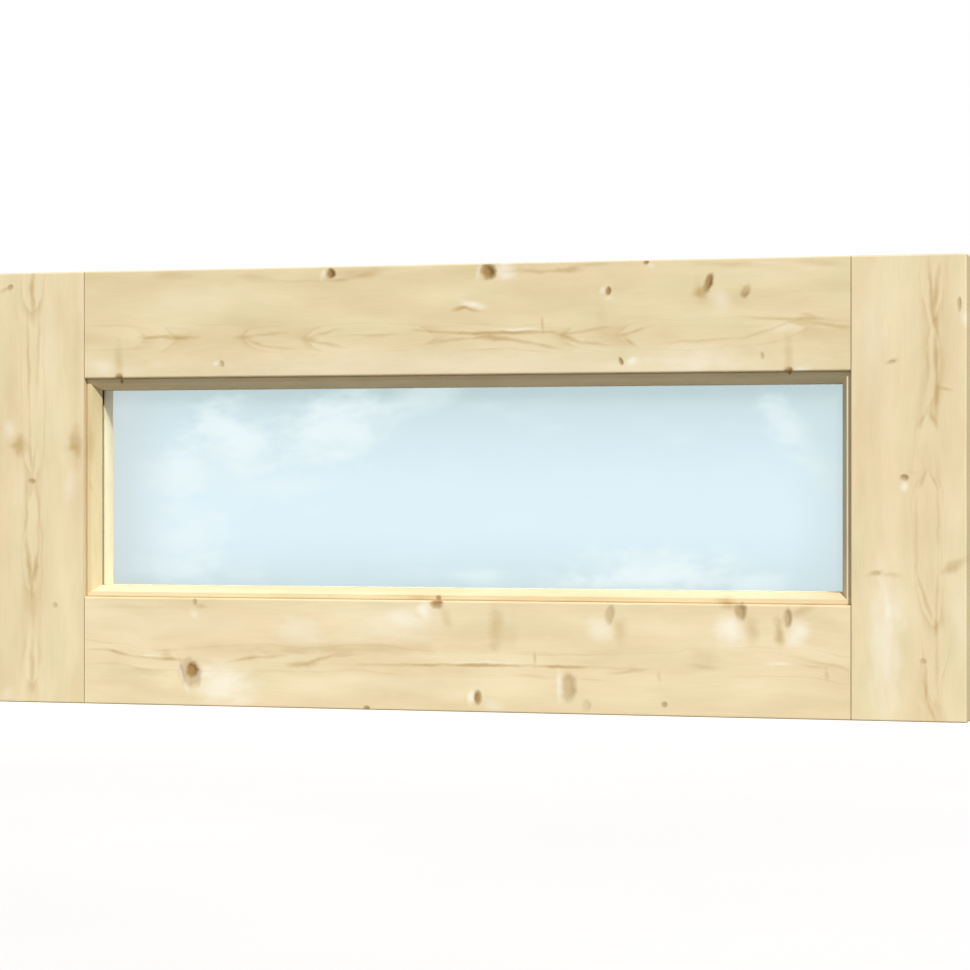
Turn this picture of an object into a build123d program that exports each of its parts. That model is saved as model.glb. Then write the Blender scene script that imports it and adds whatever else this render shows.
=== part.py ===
from build123d import *
import os

# A fixed window in solid softwood: two full-height stiles, two rails tenoned between them,
# and one pane held in a rebate by four sloped, mitred glazing beads.
# X runs to the right as seen from the front, the front faces -Y, and Z is up.
# The origin is under the middle of the bottom edge, and all sizes are in millimetres.

# Frame
frame_width = 913.0
frame_height = 400.0
frame_depth = 47.0
board_width = 99.0
arris_radius = 1.5
opening_arris = 1.8
shoulder_gap = 0.4
shoulder_chamfer = 0.3

# Mortise and tenon joints
tenon_thickness = 16.0
tenon_width = 60.0
tenon_setback = 20.0
tenon_length = 65.0
tenon_chamfer = 1.5
joint_clearance = 0.15
mortise_end_gap = 1.5

# Glazing beads and the lip at the back of the rebate
lip_reach = 10.3
bead_recess = 5.5
bead_depth = 13.6
bead_flat = 4.8
bead_nose = 1.5
bead_rounding = 0.8
bead_arris = 1.6

# Pane and its bedding
glass_thickness = 4.0
glass_edge_gap = 3.0
glass_seam = 0.4
tape_thickness = 1.5
tape_clearance = 0.5

# Blocks that hold the pane off the rebate
sill_block_length = 80.0
side_block_length = 50.0
block_corner_distance = 60.0

# Where the boards, the opening and the sight line lie
right_edge = frame_width / 2
middle_height = frame_height / 2
opening_right = right_edge - board_width
opening_bottom = board_width
opening_half_height = middle_height - opening_bottom
sight_right = opening_right - lip_reach
sight_bottom = opening_bottom + lip_reach

# Layers of the glazing, from the front face to the back
front_face = -frame_depth / 2
back_face = frame_depth / 2
bead_front = front_face + bead_recess
bead_back = bead_front + bead_depth
glass_front = bead_back + tape_thickness
glass_back = glass_front + glass_thickness
rebate_face = glass_back + tape_thickness

tenon_height = tenon_setback + tenon_width / 2
mortise_depth = tenon_length + mortise_end_gap
tape_start = glass_edge_gap + tape_clearance
tape_width = lip_reach - tape_start
block_depth = rebate_face - bead_back

os.makedirs("parts", exist_ok=True)


def save(piece, name):
    """Label one finished piece and write it to its own file."""
    piece.part.label = name
    export_step(piece.part, f"parts/{name}.step")


# Right stile: an L-shaped section over the full height, with the rebate on its inner edge
with BuildPart() as stile_right:
    with BuildSketch(Plane.XY):
        with BuildLine():
            Polyline(
                (opening_right, front_face),
                (right_edge, front_face),
                (right_edge, back_face),
                (sight_right, back_face),
                (sight_right, rebate_face),
                (opening_right, rebate_face),
                close=True,
            )
        make_face()
    extrude(amount=frame_height)
    stile_faces = stile_right.faces().sort_by(Axis.Y)
    front_edges = stile_faces[0].edges().sort_by(Axis.X)[1:]
    outer_edges = stile_right.faces().sort_by(Axis.X)[-1].edges().filter_by(Axis.Y)
    fillet(front_edges + stile_faces[-1].edges() + outer_edges, arris_radius)

    # The front edge that the rails' shoulders meet is planed off at a slant
    shoulder_edge = stile_right.faces().sort_by(Axis.Y)[0].edges().sort_by(Axis.X)[0]
    chamfer(shoulder_edge, shoulder_chamfer)

    # Blind mortises for the tenons of both rails, cut through the lip
    with BuildSketch(Plane.YZ.offset(sight_right)):
        with Locations((0, tenon_height), (0, frame_height - tenon_height)):
            Rectangle(tenon_thickness + 2 * joint_clearance, tenon_width + 2 * joint_clearance)
    extrude(amount=lip_reach + mortise_depth, mode=Mode.SUBTRACT)

with BuildPart() as stile_left:
    mirror(stile_right.part, about=Plane.YZ)

save(stile_right, "stile_right")
save(stile_left, "stile_left")


# Bottom rail: the front shoulders end a hair from the stiles' edges, and the back ones stop short at
# their lips
with BuildPart() as rail_bottom:
    with BuildSketch(Plane.YZ):
        with Locations((front_face, 0)):
            Rectangle(rebate_face - front_face, opening_bottom, align=(Align.MIN, Align.MIN))
    extrude(amount=opening_right - shoulder_gap, both=True)
    with BuildSketch(Plane.YZ):
        with Locations((rebate_face, 0)):
            Rectangle(back_face - rebate_face, sight_bottom, align=(Align.MIN, Align.MIN))
    extrude(amount=sight_right - shoulder_gap, both=True)
    rail_faces = rail_bottom.faces().sort_by(Axis.Y)
    opening_edge = rail_faces[0].edges().sort_by(Axis.Z)[-1]
    lower_edge = rail_faces[0].edges().sort_by(Axis.Z)[0]
    fillet(opening_edge, opening_arris)
    fillet([lower_edge] + rail_faces[-1].edges(), arris_radius)

    # The front face's ends are planed off at the same slant, where they meet the stiles
    front_ends = rail_bottom.faces().sort_by(Axis.Y)[0].edges().filter_by(Axis.Z)
    chamfer(front_ends, shoulder_chamfer)

    # One long bar through the rail leaves a tenon on each end
    with BuildSketch(Plane.YZ):
        with Locations((0, tenon_height)):
            Rectangle(tenon_thickness, tenon_width)
    extrude(amount=opening_right + tenon_length, both=True)
    tenon_ends = rail_bottom.faces().sort_by(Axis.X)
    chamfer(tenon_ends[0].edges() + tenon_ends[-1].edges(), tenon_chamfer)

with BuildPart() as rail_top:
    mirror(rail_bottom.part, about=Plane.XY.offset(middle_height))

save(rail_bottom, "rail_bottom")
save(rail_top, "rail_top")


# Sections of the glazing lie on planes with X into the opening, Y towards the back
# and Z along the piece, and start on the edge of the opening
bottom_plane = Plane(origin=(0, 0, opening_bottom), x_dir=(0, 0, 1), z_dir=(-1, 0, 0))
right_plane = Plane(origin=(opening_right, 0, middle_height), x_dir=(-1, 0, 0), z_dir=(0, 0, -1))

# The mitres lie on planes through the bottom and top corners of the opening
lower_mitre = Plane(origin=(opening_right, 0, opening_bottom), x_dir=(0, 1, 0), z_dir=(1, 0, 1))
upper_mitre = Plane(
    origin=(opening_right, 0, frame_height - opening_bottom), x_dir=(0, 1, 0), z_dir=(1, 0, -1)
)
left_mitre = Plane(origin=(-opening_right, 0, opening_bottom), x_dir=(0, 1, 0), z_dir=(-1, 0, 1))


def bead_section(plane):
    """The sloped bead: a flat front, a slope down to the glass and a thin nose against it."""
    with BuildSketch(plane) as section:
        with BuildLine():
            Polyline(
                (0, bead_front),
                (bead_flat, bead_front),
                (lip_reach, bead_back - bead_nose),
                (lip_reach, bead_back),
                (0, bead_back),
                close=True,
            )
        make_face()
        outer_corner = section.vertices().sort_by_distance((0, bead_front))[0]
        fillet(outer_corner, bead_arris)
        slope_start = section.vertices().sort_by_distance((bead_flat, bead_front))[0]
        slope_end = section.vertices().sort_by_distance((lip_reach, bead_back - bead_nose))[0]
        fillet([slope_start, slope_end], bead_rounding)
    return section.sketch


with BuildPart() as bead_bottom:
    extrude(bead_section(bottom_plane), amount=opening_right, both=True)
    split(bisect_by=lower_mitre, keep=Keep.BOTTOM)
    split(bisect_by=left_mitre, keep=Keep.BOTTOM)

with BuildPart() as bead_top:
    mirror(bead_bottom.part, about=Plane.XY.offset(middle_height))

with BuildPart() as bead_right:
    extrude(bead_section(right_plane), amount=opening_half_height, both=True)
    split(bisect_by=lower_mitre, keep=Keep.TOP)
    split(bisect_by=upper_mitre, keep=Keep.TOP)

with BuildPart() as bead_left:
    mirror(bead_right.part, about=Plane.YZ)

save(bead_bottom, "bead_bottom")
save(bead_top, "bead_top")
save(bead_right, "bead_right")
save(bead_left, "bead_left")


# Pane, with seamed edges
with BuildPart() as glass_pane:
    with BuildSketch(Plane.XZ.offset(-glass_back)):
        with Locations((0, middle_height)):
            Rectangle(
                2 * (opening_right - glass_edge_gap), 2 * (opening_half_height - glass_edge_gap)
            )
    extrude(amount=glass_thickness)
    chamfer(glass_pane.edges(), glass_seam)

save(glass_pane, "glass_pane")


# Bedding tape before and behind the pane, flush with the sight line: the lengths along the top
# and bottom run past the side ones
for layer, layer_front in (("front", bead_back), ("back", glass_back)):
    with BuildPart() as tape_bottom:
        with BuildSketch(bottom_plane):
            with Locations((tape_start, layer_front)):
                Rectangle(tape_width, tape_thickness, align=(Align.MIN, Align.MIN))
        extrude(amount=opening_right - tape_start, both=True)

    with BuildPart() as tape_right:
        with BuildSketch(right_plane):
            with Locations((tape_start, layer_front)):
                Rectangle(tape_width, tape_thickness, align=(Align.MIN, Align.MIN))
        extrude(amount=opening_half_height - lip_reach, both=True)

    with BuildPart() as tape_top:
        mirror(tape_bottom.part, about=Plane.XY.offset(middle_height))

    with BuildPart() as tape_left:
        mirror(tape_right.part, about=Plane.YZ)

    save(tape_bottom, f"tape_{layer}_bottom")
    save(tape_top, f"tape_{layer}_top")
    save(tape_right, f"tape_{layer}_right")
    save(tape_left, f"tape_{layer}_left")


# Blocks between the pane's edge and the rebate: the pane's weight stands on the two at the bottom,
# and the others keep it in place
with BuildPart() as block_bottom_right:
    with BuildSketch(Plane.XY.offset(opening_bottom)):
        with Locations((opening_right - block_corner_distance, bead_back)):
            Rectangle(sill_block_length, block_depth, align=(Align.MAX, Align.MIN))
    extrude(amount=glass_edge_gap)

with BuildPart() as block_side_right:
    with BuildSketch(Plane.YZ.offset(opening_right)):
        with Locations((bead_back, middle_height)):
            Rectangle(block_depth, side_block_length, align=(Align.MIN, Align.CENTER))
    extrude(amount=-glass_edge_gap)

with BuildPart() as block_bottom_left:
    mirror(block_bottom_right.part, about=Plane.YZ)

with BuildPart() as block_top_right:
    mirror(block_bottom_right.part, about=Plane.XY.offset(middle_height))

with BuildPart() as block_top_left:
    mirror(block_top_right.part, about=Plane.YZ)

with BuildPart() as block_side_left:
    mirror(block_side_right.part, about=Plane.YZ)

save(block_bottom_right, "block_bottom_right")
save(block_bottom_left, "block_bottom_left")
save(block_top_right, "block_top_right")
save(block_top_left, "block_top_left")
save(block_side_right, "block_side_right")
save(block_side_left, "block_side_left")
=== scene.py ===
import math
from collections import namedtuple

import bpy
from mathutils import Euler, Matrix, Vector


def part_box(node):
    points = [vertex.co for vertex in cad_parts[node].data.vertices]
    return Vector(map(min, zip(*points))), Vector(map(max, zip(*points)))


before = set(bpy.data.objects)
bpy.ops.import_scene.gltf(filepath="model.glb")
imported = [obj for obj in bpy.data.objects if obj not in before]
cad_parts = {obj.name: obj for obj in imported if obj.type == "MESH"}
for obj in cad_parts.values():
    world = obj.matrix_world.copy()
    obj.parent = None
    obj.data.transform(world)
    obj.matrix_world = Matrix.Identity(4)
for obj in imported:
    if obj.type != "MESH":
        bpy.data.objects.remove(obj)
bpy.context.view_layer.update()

# A fixed window in clear-finished spruce, with sloped beads round one pane that shows a pale sky.
# The wood is cut from solid figures: growth rings lie round a heart line just behind each board's
# front face, and every knot is a cone that narrows towards the back, so all faces of a board agree.
# Sizes of the figure are in millimetres on the front face, x from the middle and z from the bottom.

METRE = 1000.0


def srgb(red, green, blue):
    """A colour as it shows on a screen, from 0 to 255, turned into the linear one that shaders use."""
    def linear(level):
        share = level / 255.0
        return share / 12.92 if share <= 0.04045 else ((share + 0.055) / 1.055) ** 2.4
    return (linear(red), linear(green), linear(blue), 1.0)


# Colours of the finishes
early_wood = srgb(237, 221, 182)
warm_early_wood = srgb(233, 213, 173)
late_wood = srgb(197, 163, 105)
pale_wood = srgb(252, 246, 228)
streak_brown = srgb(188, 153, 93)
knot_core = srgb(180, 142, 84)
knot_rim = srgb(97, 77, 43)
end_grain = srgb(206, 183, 139)
tape_brown = srgb(76, 60, 38)
tape_cream = srgb(224, 207, 168)
block_grey = srgb(70, 74, 78)
pale_block_grey = srgb(84, 88, 92)
clear_glass = srgb(253, 255, 255)
# The pane's colour where shade is painted along its top and bottom edges
edge_shade_glass = srgb(241, 242, 238)
glass_shadow = srgb(247, 252, 250)

# Tints of painted shade, which darken the wood in the joint gaps and on the window's outer side faces
joint_shade_tint = (0.5, 0.45, 0.38, 1.0)
outer_shade_tint = (0.92, 0.87, 0.76, 1.0)

# Lines of the solids that the figures follow
front_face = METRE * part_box("stile_right")[0].y
right_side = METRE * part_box("stile_right")[1].x
joint_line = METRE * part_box("bead_bottom")[1].x

# Most values of a noise texture lie between these two
noise_low = 0.3
noise_high = 0.7


class Nodes:
    """Adds shader nodes to one tree and links them as they are made."""

    def __init__(self, tree):
        self.tree = tree

    def fill(self, node, inputs):
        """Give a node's inputs their values, or link them to outputs of other nodes."""
        for key, value in dict(inputs).items():
            if isinstance(value, bpy.types.NodeSocket):
                self.tree.links.new(value, node.inputs[key])
            else:
                node.inputs[key].default_value = value

    def put(self, kind, inputs=(), output=0, **settings):
        """Add a node, give it its settings and inputs, and return one of its outputs."""
        node = self.tree.nodes.new(kind)
        for name, value in settings.items():
            setattr(node, name, value)
        self.fill(node, inputs)
        return node.outputs[output]

    def math(self, operation, *values):
        return self.put("ShaderNodeMath", enumerate(values), operation=operation)

    def vector(self, operation, *values):
        output = "Value" if operation in ("LENGTH", "DOT_PRODUCT") else "Vector"
        return self.put("ShaderNodeVectorMath", enumerate(values), output, operation=operation)

    def scale(self, vector, amount):
        """A vector times one number, which may come from another node."""
        inputs = {"Vector": vector, "Scale": amount}
        return self.put("ShaderNodeVectorMath", inputs, "Vector", operation="SCALE")

    def combine(self, x, y, z):
        return self.put("ShaderNodeCombineXYZ", enumerate((x, y, z)))

    def separate(self, vector):
        node = self.tree.nodes.new("ShaderNodeSeparateXYZ")
        self.tree.links.new(vector, node.inputs[0])
        return node.outputs[0], node.outputs[1], node.outputs[2]

    def ramp(self, value, start, end, low=0.0, high=1.0):
        """Rise smoothly from low to high as the value goes from start to end."""
        inputs = {"Value": value, "From Min": start, "From Max": end, "To Min": low, "To Max": high}
        return self.put("ShaderNodeMapRange", inputs, interpolation_type="SMOOTHSTEP")

    def line(self, value, start, end, low, high):
        """The same in a straight line, and past both ends too."""
        inputs = {"Value": value, "From Min": start, "From Max": end, "To Min": low, "To Max": high}
        return self.put("ShaderNodeMapRange", inputs, clamp=False)

    def noise(self, vector, scale=1.0, detail=2.0, roughness=0.5):
        inputs = {"Vector": vector, "Scale": scale, "Detail": detail, "Roughness": roughness}
        return self.put("ShaderNodeTexNoise", inputs)

    def spread(self, texture, low, high):
        """A noise texture's usual values, spread from low to high."""
        return self.line(texture, noise_low, noise_high, low, high)

    def bump(self, height, strength, distance):
        inputs = {"Height": height, "Strength": strength, "Distance": distance}
        return self.put("ShaderNodeBump", inputs)

    def blend(self, share, first, second, blend_type="MIX"):
        inputs = {0: share, 6: first, 7: second}
        return self.put("ShaderNodeMix", inputs, 2, data_type="RGBA", blend_type=blend_type)

    def profile(self, value, points):
        """A smooth curve through a few points (value, result), drawn as a float curve."""
        values = [point[0] for point in points]
        results = [point[1] for point in points]
        low, high = min(results), max(results)
        share = self.put(
            "ShaderNodeMapRange",
            {"Value": value, "From Min": values[0], "From Max": values[-1]},
        )
        height = self.put("ShaderNodeFloatCurve", {"Value": share})
        mapping = height.node.mapping
        curve = mapping.curves[0]
        while len(curve.points) < len(points):
            curve.points.new(0.5, 0.5)
        for spot, (place, result) in zip(curve.points, points):
            along = (place - values[0]) / (values[-1] - values[0])
            spot.location = (along, (result - low) / (high - low))
            spot.handle_type = "AUTO_CLAMPED"
        mapping.update()
        return self.line(height, 0.0, 1.0, low, high)

    def add_up(self, values):
        """The sum of some shader values."""
        total = 0.0
        for value in values:
            total = self.math("ADD", total, value)
        return total


def new_material(name):
    """An empty material with its principled shader, and the helper that fills it."""
    material = bpy.data.materials.new(name)
    material.use_nodes = True
    shader = material.node_tree.nodes["Principled BSDF"]
    return material, Nodes(material.node_tree), shader


# How strong the painted shade beside the joints is, on the boards and on the beads
board_joint_shade = 0.32
bead_joint_shade = 0.1

# A knot: its centre, half sizes, tilt in degrees, how dark it is, and the way its dark rim lies
Knot = namedtuple("Knot", "x z wide high tilt dark rim_x rim_z", defaults=(0.0, 1.0, 0.3, 0.1))

# A soft streak along the wood: its two ends, its width, and its strength, below zero where it is pale
Streak = namedtuple("Streak", "x1 z1 x2 z2 width strength")

# A board: its grain's direction, its heart line, the height of its rings along it, its marks, the
# number that tells its textures apart, whether its knots lean towards the heart line, how light its
# wood is, and how strong the painted shade beside its joints is
Board = namedtuple(
    "Board",
    "grain heart rings knots streaks seed leaning shade dulling",
    defaults=(True, 1.0, board_joint_shade),
)

# A spot in the wood: its place across the window, its height, its depth behind the front face, and
# its places along and across the grain
Spot = namedtuple("Spot", "x z depth along across")

# A knot starts and is full at these distances from its middle, in half sizes of it, and its dark rim
# grows from a faint share to a strong one between its own two
knot_fade = (1.35, 0.35)
rim_fade = (0.4, 1.1)
rim_shares = (0.1, 0.85)

# Going back into the board, a knot is this many times narrower at this depth, and drifts along the
# grain by a share of the depth
knot_narrowing = 8.0
knot_depth = 22.0
knot_drift = 0.12

# A streak's soft half length and half width as shares of its size, the distance in them where it
# ends, and the depths where it is gone and where it starts to fade
streak_half_length = 0.6
streak_half_width = 0.72
streak_reach = 1.25
streak_depths = (30.0, 4.0)


def new_group(name, inputs, outputs):
    """An empty node group, the helper that fills it, what it is given, and where its results go."""
    group = bpy.data.node_groups.new(name, "ShaderNodeTree")
    for socket, kind in inputs:
        group.interface.new_socket(socket, in_out="INPUT", socket_type=kind)
    for socket in outputs:
        group.interface.new_socket(socket, in_out="OUTPUT", socket_type="NodeSocketFloat")
    given = group.nodes.new("NodeGroupInput").outputs
    results = group.nodes.new("NodeGroupOutput").inputs
    return group, Nodes(group), given, results


def knot_group():
    """One knot, which narrows and leans as it goes back into the board: its core and its dark rim."""
    inputs = (
        ("Face", "NodeSocketVector"),
        ("Depth", "NodeSocketFloat"),
        ("Narrowing", "NodeSocketFloat"),
        ("Ragged", "NodeSocketFloat"),
        ("Centre", "NodeSocketVector"),
        ("Lean", "NodeSocketVector"),
        ("Right", "NodeSocketVector"),
        ("Up", "NodeSocketVector"),
        ("Rim Shift", "NodeSocketVector"),
        ("Dark", "NodeSocketFloat"),
    )
    group, nodes, given, results = new_group("knot", inputs, ("Core", "Rim"))
    drift = nodes.scale(given["Lean"], given["Depth"])
    offset = nodes.vector("SUBTRACT", nodes.vector("SUBTRACT", given["Face"], given["Centre"]), drift)
    right = nodes.vector("DOT_PRODUCT", offset, given["Right"])
    up = nodes.vector("DOT_PRODUCT", offset, given["Up"])
    local = nodes.combine(right, up, 0.0)
    reach = nodes.math("MULTIPLY_ADD", nodes.vector("LENGTH", local), given["Narrowing"], given["Ragged"])
    core = nodes.math("MULTIPLY", nodes.ramp(reach, *knot_fade), given["Dark"])
    shifted = nodes.vector("LENGTH", nodes.vector("ADD", local, given["Rim Shift"]))
    rim = nodes.math("MULTIPLY", core, nodes.ramp(shifted, *rim_fade, *rim_shares))
    group.links.new(core, results["Core"])
    group.links.new(rim, results["Rim"])
    return group


def streak_group():
    """One soft streak: strongest on its middle line, and nothing at its ends and edges."""
    inputs = (
        ("Face", "NodeSocketVector"),
        ("Centre", "NodeSocketVector"),
        ("Along", "NodeSocketVector"),
        ("Across", "NodeSocketVector"),
        ("Strength", "NodeSocketFloat"),
        ("Frayed", "NodeSocketFloat"),
    )
    group, nodes, given, results = new_group("streak", inputs, ("Strength",))
    offset = nodes.vector("SUBTRACT", given["Face"], given["Centre"])
    along = nodes.vector("DOT_PRODUCT", offset, given["Along"])
    across = nodes.vector("DOT_PRODUCT", offset, given["Across"])
    reach = nodes.math("ADD", nodes.vector("LENGTH", nodes.combine(along, across, 0.0)), given["Frayed"])
    strength = nodes.ramp(reach, streak_reach, 0.0, 0.0, given["Strength"])
    group.links.new(strength, results["Strength"])
    return group


def heart_at(board, place):
    """Where the heart line lies at a place along a board, in straight lines between its points."""
    for (start, low), (end, high) in zip(board.heart, board.heart[1:]):
        if start <= place <= end:
            return low + (high - low) * (place - start) / (end - start)
    return board.heart[-1][1]


def knot_values(board, knot):
    """What the knot group needs to know of one knot."""
    if not board.leaning:
        lean = (0.0, 0.0, 0.0)
    elif board.grain == "X":
        lean = (knot_drift, (heart_at(board, knot.x) - knot.z) / knot_depth, 0.0)
    else:
        lean = ((heart_at(board, knot.z) - knot.x) / knot_depth, knot_drift, 0.0)
    turn = math.radians(knot.tilt)
    return {
        "Centre": (knot.x, knot.z, 0.0),
        "Lean": lean,
        "Right": (math.cos(turn) / knot.wide, -math.sin(turn) / knot.wide, 0.0),
        "Up": (math.sin(turn) / knot.high, math.cos(turn) / knot.high, 0.0),
        "Rim Shift": (knot.rim_x, knot.rim_z, 0.0),
        "Dark": knot.dark,
    }


def streak_values(streak):
    """What the streak group needs to know of one streak."""
    run = Vector((streak.x2 - streak.x1, streak.z2 - streak.z1, 0.0))
    along = run.normalized() / (streak_half_length * run.length)
    across = Vector((-run.y, run.x, 0.0)).normalized() / (streak_half_width * streak.width)
    return {
        "Centre": ((streak.x1 + streak.x2) / 2, (streak.z1 + streak.z2) / 2, 0.0),
        "Along": tuple(along),
        "Across": tuple(across),
        "Strength": abs(streak.strength),
    }


# Textures that make the marks uneven: their scales, and how far they move a streak's path in
# millimetres, a knot's outline in half sizes and a streak's outline in soft half sizes
waver_scale = 0.06
waver_reach = 3.6
ragged_scale = (0.17, 0.17, 1.0)
ragged_reach = 0.12
frayed_scale = (0.05, 0.11, 1.0)
frayed_reach = 0.25


def wood_marks(nodes, board, spot, knot_nodes, streak_nodes):
    """The shares of knots' cores, of their rims, of dark streaks and of pale streaks at a spot."""
    flat = nodes.combine(spot.x, spot.z, 0.0)
    loose_x = nodes.math("MULTIPLY", spot.x, waver_scale)
    loose_z = nodes.math("MULTIPLY", spot.z, waver_scale)
    loose = nodes.combine(loose_x, loose_z, board.seed)
    waver = nodes.noise(loose).node.outputs["Color"]
    centred = nodes.vector("SUBTRACT", waver, (0.5, 0.5, 0.5))
    shift = nodes.vector("MULTIPLY", centred, (waver_reach, waver_reach, 0.0))
    face = nodes.vector("ADD", flat, shift)
    close = nodes.vector("MULTIPLY", nodes.combine(spot.x, spot.z, board.seed), ragged_scale)
    ragged = nodes.spread(nodes.noise(close, detail=1.0), -ragged_reach, ragged_reach)
    broad = nodes.vector("MULTIPLY", nodes.combine(spot.along, spot.across, board.seed), frayed_scale)
    frayed = nodes.spread(nodes.noise(broad, detail=3.0), -frayed_reach, frayed_reach)

    narrowing = nodes.ramp(spot.depth, 0.0, knot_depth, 1.0, knot_narrowing)
    cores = []
    rims = []
    for knot in board.knots:
        values = {"Face": flat, "Depth": spot.depth, "Narrowing": narrowing, "Ragged": ragged}
        values.update(knot_values(board, knot))
        core = nodes.put("ShaderNodeGroup", values, "Core", node_tree=knot_nodes)
        cores.append(core)
        rims.append(core.node.outputs["Rim"])

    dark_streaks = []
    pale_streaks = []
    for streak in board.streaks:
        values = {"Face": face, "Frayed": frayed}
        values.update(streak_values(streak))
        strength = nodes.put("ShaderNodeGroup", values, "Strength", node_tree=streak_nodes)
        (dark_streaks if streak.strength > 0.0 else pale_streaks).append(strength)
    near_face = nodes.ramp(spot.depth, *streak_depths)
    dark_share = nodes.math("MULTIPLY", nodes.add_up(dark_streaks), near_face)
    pale_share = nodes.math("MULTIPLY", nodes.add_up(pale_streaks), near_face)
    return nodes.add_up(cores), nodes.add_up(rims), dark_share, pale_share


# The heart of every board lies just behind its front face
heart_depth = 1.5

# How many rings lie between the heart and each distance from it: wide ones first, then narrow ones
ring_count = ((0, 0.0), (4, 0.12), (8, 0.3), (10.5, 0.6), (12, 1.0), (16, 2.6), (30, 8.0), (60, 20.0))

# The rings wander across the grain, by millimetres
wander_scale = (0.02, 0.05, 1.0)
wander_reach = 1.8

# Each ring darkens slowly towards its end, and ends sharply
late_power = 3.0
ring_end = (1.0, 0.93)

# How clearly the rings show: faintly away from the heart line, fully near it, more weakly behind the
# face, and less in patches
heart_zone = (17.0, 6.0)
faint_rings = 0.07
inner_zone = (2.0, 8.0)
inner_rings = 0.3
patch_scale = (0.025, 0.12, 1.0)
patch_edges = (0.36, 0.56)
patch_rings = 0.25


def growth_rings(nodes, board, spot):
    """How late in its ring a spot is, how much of that shows, and how far it is from the heart line."""
    flowing = nodes.combine(spot.along, spot.across, board.seed)
    slow = nodes.vector("MULTIPLY", flowing, wander_scale)
    wander = nodes.spread(nodes.noise(slow, detail=3.0), -wander_reach, wander_reach)
    heart = nodes.profile(spot.along, board.heart)
    side = nodes.math("ADD", nodes.math("SUBTRACT", spot.across, heart), wander)
    behind_heart = nodes.math("SUBTRACT", spot.depth, heart_depth)
    radius = nodes.vector("LENGTH", nodes.combine(side, behind_heart, 0.0))
    count = nodes.profile(nodes.math("SUBTRACT", radius, heart_depth), ring_count)
    phase = nodes.math("SUBTRACT", nodes.profile(spot.along, board.rings), count)
    ring = nodes.math("FRACT", phase)
    late = nodes.math("MULTIPLY", nodes.math("POWER", ring, late_power), nodes.ramp(ring, *ring_end))

    off_heart = nodes.math("ABSOLUTE", side)
    seen = nodes.ramp(off_heart, *heart_zone, faint_rings, 1.0)
    seen = nodes.math("MAXIMUM", seen, nodes.ramp(spot.depth, *inner_zone, 0.0, inner_rings))
    patchy = nodes.vector("MULTIPLY", nodes.combine(spot.along, side, board.seed), patch_scale)
    patches = nodes.ramp(nodes.noise(patchy), *patch_edges, patch_rings, 1.0)
    seen = nodes.math("MULTIPLY", seen, patches)
    return late, nodes.math("MULTIPLY", late, seen), side


# Fibres, soft blotches and a slow change of tone: scales along, across and behind the grain, and how
# light and dark they make the wood, where darker wood is yellower too
fibre_scale = (0.02, 0.9, 0.9)
blotch_scale = (0.012, 0.045, 0.04)
tone_scale = (0.6, 0.7, 1.3)
tone_edges = (0.35, 0.65)
blotch_shades = (0.94, 1.05)
fibre_shades = (0.975, 1.02)
blue_power = 1.6

# How strongly each mark colours the wood
pale_streak_strength = 0.88
ring_strength = 0.42
dark_streak_strength = 0.76
end_ring_strength = 0.8

# Distances from the joint and from the outer side where the painted shade starts and is full
joint_zone = (1.3, 0.3)
outer_shade_zone = (1.0, 0.2)

# How squarely a face has to cut the fibres to show end grain
end_facing = (0.75, 0.95)

# The wood's surface
wood_roughness = (0.52, 0.6)
knot_polish = 0.12
wood_specular = 0.25
fibre_bump = 0.25
fibre_height = 0.00015


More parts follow.
